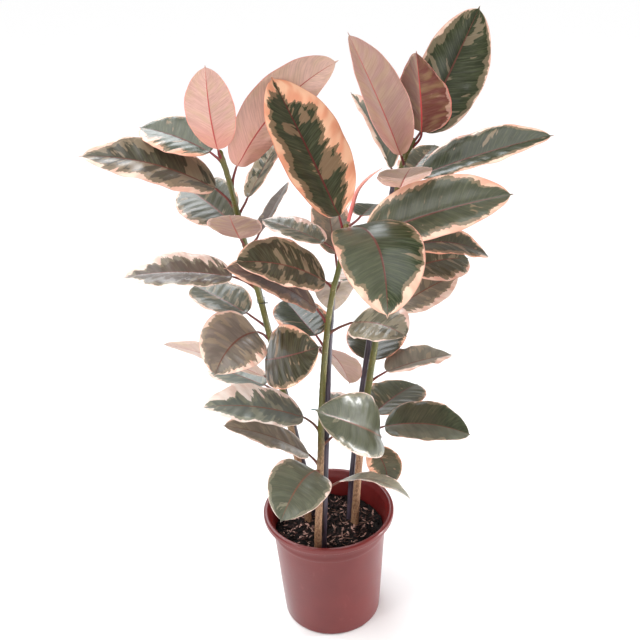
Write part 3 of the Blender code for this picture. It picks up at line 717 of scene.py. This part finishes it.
def sheet_of(upper, keel):
    """The line of the blade's sheet, a fixed share of the way from the keel to the midrib."""
    return MIDDLE_SHARE * upper + (1 - MIDDLE_SHARE) * keel


def leaf_grid(rings, ruffle, phase):
    """The stalk's round section turned by degrees into the blade's flat one, carried along the CAD
    leaf's line. Returns the grid of points and, for each, u across from -1 to 1, s along from the
    blade's foot (0) to its tip (1), and whether it is on the under face."""
    middles = np.concatenate([rings[:3].mean(axis=1), sheet_of(rings[3:, 2], rings[3:, 6])])
    middles[0] -= STALK_SUNK * unit(middles[1] - middles[0])
    length = lengths_along(middles)
    foot, tip = length[3], length[-1]
    stages = (1 - np.cos(np.linspace(0, pi, BLADE_STEPS))) / 2
    at = np.concatenate([np.linspace(0, foot, STALK_STEPS)[:-1], foot + (tip - foot) * stages])
    line = follow(length, middles, at)
    ahead = unit(np.gradient(line, at, axis=0))
    right = follow(length, unit(rings[:, 0] - rings[:, 4]), at)
    right = unit(right - (right * ahead).sum(axis=1, keepdims=True) * ahead)
    up = np.cross(right, ahead)
    widest = rings[5:9]
    edges = widest[:, 0] - sheet_of(widest[:, 2], widest[:, 6])
    half = np.linalg.norm(edges, axis=1).max()
    lift = (unit(edges) * unit(widest[:, 2] - widest[:, 6])).sum(axis=1)
    fold = np.arcsin(np.clip(lift.mean(), -1, 1))
    s = np.clip((at - foot) / (tip - foot), 0, 1)[:, None]
    width = half * leaf_outline(s)
    stalk_radius = STALK_SHARE * np.linalg.norm(rings[:4, 0] - rings[:4].mean(axis=1), axis=1)
    flare = 1 + STALK_FLARE * np.exp(-at / 0.004)
    stalk = (np.interp(at, length[:4], stalk_radius) * flare)[:, None]

    step = np.linspace(1, 0, HALF_STEPS)
    across = np.append(step**1.5, 0)[:-1]
    upper = np.concatenate([[1.0, 0.985], across[1:], -across[1:-1][::-1], [-0.985, -1.0]])
    lower = -upper[1:-1]
    u = np.concatenate([upper, lower])[None]
    under = np.concatenate([np.zeros(len(upper)), np.ones(len(lower))])[None]
    turn = np.append(np.linspace(0, pi, len(upper)), pi + np.linspace(0, pi, len(lower) + 2)[1:-1])[None]

    out = np.abs(u)
    thick = (MIDDLE_THICK + (EDGE_THICK - MIDDLE_THICK) * out**2) / 2 * (1 - 0.5 * s)
    thick = thick * np.where(out > 0.99, 0.0, 1.0)
    from_rib = out * width
    groove = 0.00030 * np.exp(-((from_rib / 0.0011) ** 2)) * (1 - s)
    keel = (0.0014 - 0.0011 * s) * np.exp(-((from_rib / (0.0017 - 0.0008 * s)) ** 2))
    height = blade_side(u, half, width, fold, s, ruffle, phase)
    height = height + np.where(under > 0.5, -thick - keel, thick - groove)
    flat_x, flat_y = u * width * np.cos(fold), height
    round_x, round_y = stalk * np.cos(turn), stalk * np.sin(turn)
    ease = np.clip((at[:, None] - foot + 0.004) / (0.05 * (tip - foot) + 0.004), 0, 1)
    ease = ease**2 * (3 - 2 * ease)
    x = flat_x + (1 - ease) * round_x
    y = ease * flat_y + (1 - ease) * round_y
    grid = line[:, None] + x[..., None] * right[:, None] + y[..., None] * up[:, None]
    along = np.where(s > 0, s, (at[:, None] - foot) / (tip - foot))
    parts = (grid, u, along, under)
    return [np.broadcast_to(part, grid.shape[:2] + part.shape[2:])[:, ::-1] for part in parts]


def leaf_pattern(add):
    """Sockets shared by both faces of a leaf: where margin, bordering zone, patches and midrib lie.

    Everything is drawn on the leaf's own grain: u across, s along, and v = s less a little with
    the distance out, which is constant along a side vein. The margin and the zone beside it are
    where one field, the distance out roughened along the veins, passes two levels.
    """
    grain = add("UVMap", uv_map="grain")
    u = add("SeparateXYZ", {0: grain})
    s = u.node.outputs[1]
    out = add.calc("ABSOLUTE", u)
    right = add.calc("GREATER_THAN", u, 0.0)
    margins, tones, extra = (
        add("SeparateXYZ", {0: add("Attribute", out=1, attribute_name=kind)}).node.outputs
        for kind in ("margins", "tones", "extras"))
    seed = add.plus(extra[2], add.times(right, 3.7))
    vein = add.minus(s, add.times(out, 0.15))
    along = add("CombineXYZ", {0: vein, 1: out, 2: seed})
    lobes = add.noise(along, 1.0, 1.5, 0.5, stretch=(7, 0.8, 1))
    teeth = add.noise(along, 1.0, 3, 0.6, stretch=(30, 1.6, 1), shift=(5, 0, 3))
    blotch = add.noise(along, 1.0, 2.5, 0.55, stretch=(9, 1.1, 1), shift=(11, 4, 7))
    fibres = add.noise(along, 1.0, 2, 0.6, stretch=(90, 2.4, 1), shift=(2, 1, 9))
    swell = add.noise(along, 1.0, 1, 0.5, stretch=(12, 1.5, 1), shift=(4, 9, 1))
    edge = add("Mix", {0: right, 2: margins[1], 3: margins[0]}, data_type="FLOAT")
    edge = add.plus(edge, add.times(extra[0], add.ramp(s, 0.66, 1.0)))
    lobed = add.times(add.minus(lobes, 0.5), add.ramp(edge, 0.0, 0.5, 0.35, 1.7))
    toothed = add.times(add.minus(teeth, 0.5), add.ramp(edge, 0.0, 0.4, 0.18, 0.75))
    field = add.plus(out, add.plus(lobed, toothed))
    inner = add.minus(1.0, edge)
    margin = add.ramp(add.minus(field, inner), -0.016, 0.016)
    zone = add.minus(inner, add.calc("MULTIPLY_ADD", margins[2], 0.20, 0.05))
    zone = add.plus(zone, add.times(add.minus(blotch, 0.5), 0.5))
    zone = add.ramp(add.minus(field, zone), -0.018, 0.018)
    patchy = add.plus(blotch, add.times(add.minus(teeth, 0.5), 0.30))
    level = add.calc("MULTIPLY_ADD", margins[2], -0.30, 0.74)
    patch = add.ramp(add.minus(patchy, level), -0.014, 0.014)
    rib = add.calc("MULTIPLY_ADD", s, -0.022, 0.036)
    rib = add.minus(1.0, add.ramp(add.minus(out, rib), -0.009, 0.009))
    # painted sheen: one half of the blade is made paler, standing for light and sheen falling on that half
    side = add.times(add.minus(right, 0.5), extra[1])
    # light: the leaf's own tone with painted sheen and painted shade in it, plus the painted sheen on one
    # half
    light = add.calc("MAXIMUM", add.plus(tones[2], side), 0.0)
    # brown and blue split the warmth: on some leaves brown partly paints shade, and blue partly paints a
    # bluish sheen
    brown = add.calc("MAXIMUM", tones[1], 0.0)
    blue = add.calc("MAXIMUM", add.times(tones[1], -1.0), 0.0)
    return dict(s=s, out=out, margin=margin, zone=zone, patch=patch, rib=rib, fibres=fibres, vein=vein,
                teeth=teeth, swell=swell, blush=tones[0], brown=brown, blue=blue, light=light)


def side_veins(add, p):
    """Fine ridges, one per side vein: a sharp crest each time the vein coordinate passes a step."""
    wave = add.calc("SINE", add.calc("MULTIPLY_ADD", p["vein"], 24 * tau, add.times(p["teeth"], 3.0)))
    return add.ramp(wave, 0.70, 1.0)


def stalk_end(add, p, colour):
    """The stalk's own red brown, which runs out at the blade's foot."""
    stalk = add.ramp(p["s"], -0.02, 0.01, 1.0, 0.0)
    return add.mix(stalk, colour, add.mix(p["blush"], tint(104, 70, 56), tint(128, 44, 48)))


def leaf_face():
    """Upper face: glossy green with duller patches, then a muted zone and the cream to peach margin
    with its own clouding, a thin rim in a tone of its own, and a dull pink to maroon midrib."""
    add = recipe("leaf_upper", coat=0.32, coat_roughness=0.18, specular=0.28)
    p = leaf_pattern(add)
    # the pale end reached by lightness is partly the leaf's own grey green and partly painted sheen
    deep = add.mix(p["light"], tint(38, 48, 16), tint(132, 132, 116))
    brown = add.mix(p["light"], tint(54, 42, 28), tint(150, 126, 122))
    cool = add.mix(p["light"], tint(40, 56, 54), tint(134, 152, 154))
    green = add.mix(p["blue"], add.mix(p["brown"], deep, brown), cool)
    dull = add.mix(p["blush"], tint(160, 162, 140), tint(184, 144, 112))
    streak = add.ramp(p["fibres"], 0.35, 0.75, 0.0, 0.60)
    green = add.mix(streak, green, add.mix(0.30, green, tint(140, 146, 104)))
    green = add.mix(add.ramp(p["swell"], 0.38, 0.62, 0.0, 0.45), green, add.mix(0.5, green, tint(22, 28, 14)))
    colour = add.mix(add.times(p["patch"], 0.46), green, dull)
    colour = add.mix(add.times(p["zone"], 0.42), colour, dull)
    pale = add.mix(p["blush"], tint(254, 246, 238), tint(250, 196, 160))
    cloudy = add.mix(p["blush"], tint(238, 218, 206), tint(236, 160, 126))
    colour = add.mix(p["margin"], colour, add.mix(add.ramp(p["swell"], 0.35, 0.65), pale, cloudy))
    veins = side_veins(add, p)
    colour = add.mix(add.times(veins, 0.03), colour, tint(206, 190, 168))
    lip = add.times(add.ramp(p["out"], 0.965, 0.988), 0.8)
    colour = add.mix(lip, colour, add.mix(p["blush"], tint(240, 224, 210), tint(226, 138, 112)))
    red = add.mix(p["blush"], tint(138, 96, 80), tint(98, 40, 38))
    colour = add.mix(add.times(p["rib"], 0.9), colour, red)
    height = add.plus(add.times(veins, -0.05), add.times(p["fibres"], 0.12))
    height = add.plus(height, p["swell"])
    rough = add.ramp(p["fibres"], 0.3, 0.7, 0.30, 0.42)
    return add.finish(stalk_end(add, p, colour), rough, height, 0.0014, 0.8)


def leaf_back():
    """Under face: matt pink beige to red brown, nearly even, with fine vein lines, a trace of the
    upper face's pattern, a salmon rim and a red raised midrib."""
    add = recipe("leaf_under", specular=0.4, coat=0.10, coat_roughness=0.35)
    p = leaf_pattern(add)
    base = add.mix(p["blush"], tint(172, 160, 146), tint(210, 156, 146))
    base = add.mix(p["brown"], base, tint(100, 46, 34))
    pale = add.mix(p["blush"], tint(232, 218, 206), tint(248, 200, 180))
    # lightness of the back: partly its own paler tone, partly painted sheen
    base = add.mix(p["light"], base, pale)
    colour = add.mix(add.times(p["patch"], 0.16), base, pale)
    colour = add.mix(add.times(p["margin"], 0.5), colour, pale)
    colour = add.mix(add.ramp(p["fibres"], 0.3, 0.7, 0.0, 0.30), colour, tint(142, 96, 88))
    colour = add.mix(add.ramp(p["swell"], 0.4, 0.7, 0.0, 0.22), colour, tint(196, 176, 120))
    veins = side_veins(add, p)
    colour = add.mix(add.times(veins, 0.10), colour, tint(170, 104, 98))
    plain = add.calc("MAXIMUM", add.minus(p["blush"], p["brown"]), 0.0)
    flush = add.times(add.ramp(p["s"], 0.0, 0.45, 0.5, 0.0), plain)
    colour = add.mix(flush, colour, tint(232, 128, 112))
    lip = add.times(add.ramp(p["out"], 0.950, 0.982), 0.8)
    colour = add.mix(lip, colour, add.mix(p["blush"], tint(240, 216, 204), tint(232, 124, 110)))
    colour = add.mix(p["rib"], colour, add.mix(p["blush"], tint(156, 100, 88), tint(190, 62, 62)))
    height = add.plus(add.times(veins, 0.25), add.times(p["fibres"], 0.2))
    height = add.plus(height, p["swell"])
    rough = add.ramp(p["fibres"], 0.3, 0.7, 0.45, 0.58)
    return add.finish(stalk_end(add, p, colour), rough, height, 0.0008, 0.6)


def leaf_piece(name, look, faces, order):
    """One leaf over its CAD node, carrying its looks as attributes that both faces read."""
    right, left, sage, blush, warmth, light, tip, ruffle, painted_sheen_side = look
    phase = 2.4 * order
    grid, u, s, under = leaf_grid(leaf_rings("leaf_" + name), ruffle, phase)
    under = np.maximum(under[:-1], np.roll(under, -1, axis=1)[:-1])
    piece = skin("blade_" + name, grid, faces, face_material=under, sharp=50, uv=np.stack([u, s], axis=-1))
    points = len(piece.data.vertices)
    for kind, values in (("margins", (right, left, sage)), ("tones", (blush, warmth, light)),
                         ("extras", (tip, painted_sheen_side, 1.37 * order))):
        held = piece.data.attributes.new(kind, "FLOAT_VECTOR", "POINT")
        held.data.foreach_set("vector", np.tile(np.array(values, np.float32), points))
    return belongs(piece, "leaf", "leaf_" + name)


leaf_faces = [leaf_face(), leaf_back()]
for order, (name, look) in enumerate(LEAF_LOOKS.items()):
    leaf_piece(name, look, leaf_faces, order)

# ---------------------------------------------------------------------------------------------
# Bud sheath. The rolled red sheath round the next leaf, at the top of the middle stem. It is one
# thin leaf scale wound to a point, with the edge of the winding running up it.
# ---------------------------------------------------------------------------------------------


SHEATH_LAP = 0.14


def sheath_grid():
    """A tube along the CAD sheath's line whose radius grows by a fixed share round one turn and then
    steps back, at the winding's edge, which goes half a turn round from the foot to the point."""
    middles, radii = rod_line("bud_sheath")
    length = lengths_along(middles)
    at = length[-1] * np.linspace(0, 1, 60)
    line = follow(length, middles, at)
    turn = np.arange(26) * tau / 26
    lap = ((turn + pi * at[:, None] / length[-1]) % tau) / tau
    radius = np.interp(at, length, radii)[:, None] * (1 - SHEATH_LAP + SHEATH_LAP * lap)
    return line[:, None] + radius[..., None] * spokes(line, turn)


def sheath_skin():
    """Coral red, paler towards the point, with fine darker streaks along it."""
    add = recipe("sheath_skin", coat=0.15)
    place = add.place()
    streak = add.noise(place, 240, 3, 0.6, stretch=(1, 1, 0.2))
    height = add("SeparateXYZ", {0: place}, out=2)
    low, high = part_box("bud_sheath")
    colour = add.mix(add.ramp(height, low[2], high[2]), tint(236, 112, 108), tint(246, 176, 160))
    colour = add.mix(add.ramp(streak, 0.4, 0.7, 0.0, 0.3), colour, tint(208, 84, 86))
    return add.finish(colour, 0.45, streak, 0.0004, 0.4)


belongs(skin("rolled_sheath", sheath_grid(), [sheath_skin()], sharp=60), "sheath", "bud_sheath")

# ---------------------------------------------------------------------------------------------
# Studio. A white floor that runs out past the view in an even white surround, under a very wide
# sun, with soft lights behind, front left, in front and low on the right, and a camera a little
# higher than the plant that looks down on it.
# ---------------------------------------------------------------------------------------------


def floor():
    """A white sheet, 28 m square, under the pot."""
    reach = 14.0
    mesh = bpy.data.meshes.new("studio_floor")
    square = [(-reach, -reach, 0), (reach, -reach, 0), (reach, reach, 0), (-reach, reach, 0)]
    mesh.from_pydata(square, [], [(0, 1, 2, 3)])
    mesh.materials.append(recipe("studio_white").finish(tint(254, 254, 254), 0.9))
    sheet = bpy.data.objects.new("studio_floor", mesh)
    bpy.context.scene.collection.objects.link(sheet)


def surround(strength):
    """Even white light from all round, which is also the backdrop."""
    world = bpy.data.worlds.new("surround")
    world.use_nodes = True
    shade = world.node_tree.nodes["Background"]
    shade.inputs[0].default_value, shade.inputs[1].default_value = (1, 1, 1, 1), strength
    bpy.context.scene.world = world


def hang(lamp, place, toward, level):
    """Hangs a lamp at a place with its back turned one way, and its side square to that and level."""
    back = unit(np.array(toward, float))
    side = unit(np.cross(level, back))
    turned = np.column_stack([side, np.cross(back, side), back])
    held = bpy.data.objects.new(lamp.name, lamp)
    held.matrix_world = Matrix.Translation(place) @ Matrix(turned.tolist()).to_4x4()
    bpy.context.scene.collection.objects.link(held)


def sun(strength, spread, toward):
    """A very wide sun, which lights plant and floor evenly from the given side."""
    lamp = bpy.data.lights.new("overhead", "SUN")
    lamp.energy, lamp.angle = strength, radians(spread)
    hang(lamp, (0, 0, 0), toward, [0, 1, 0.001])


def soft_light(name, place, aim, size, power, colour=(1, 1, 1)):
    """A rectangle of light that faces a point on the plant."""
    lamp = bpy.data.lights.new(name, "AREA")
    lamp.shape, lamp.size, lamp.size_y = "RECTANGLE", *size
    lamp.energy, lamp.color = power, colour
    hang(lamp, place, np.array(place, float) - np.array(aim, float), [0, 0.001, 1])


def camera():
    """Eye 1.43 m up and 1.5 m in front, looking 28.4 degrees down and rolled 2.6 degrees. The view
    is set to show colours as they are given."""
    down, roll = radians(28.36), radians(-2.6)
    ahead = np.array([0, cos(down), -sin(down)])
    right, up = np.array([1.0, 0, 0]), np.array([0, sin(down), cos(down)])
    right, up = cos(roll) * right + sin(roll) * up, cos(roll) * up - sin(roll) * right
    lens = bpy.data.cameras.new("camera")
    lens.sensor_width, lens.lens = 36, 57.66
    turned = Matrix(np.column_stack([right, up, -ahead]).tolist()).to_4x4()
    eye = bpy.data.objects.new("camera", lens)
    eye.matrix_world = Matrix.Translation((0, -1.5, 1.433)) @ turned
    bpy.context.scene.collection.objects.link(eye)
    bpy.context.scene.camera = eye
    bpy.context.scene.view_settings.view_transform = "Standard"


floor()
surround(0.28)
sun(2.5, 60, (-0.4, -0.05, 1.0))
soft_light("back_sheen", (-0.7, 1.7, 2.0), (0, 0, 0.6), (1.6, 0.8), 26, (0.92, 0.96, 1.0))
soft_light("front_left", (-1.9, -1.5, 1.0), (0, 0, 0.4), (0.4, 1.2), 15)
soft_light("front_fill", (-0.2, -2.6, 1.9), (0, 0, 0.8), (1.8, 1.0), 22)
soft_light("strip_right", (1.2, -0.1, 0.3), (0, 0, 0.15), (0.10, 0.6), 12)
camera()
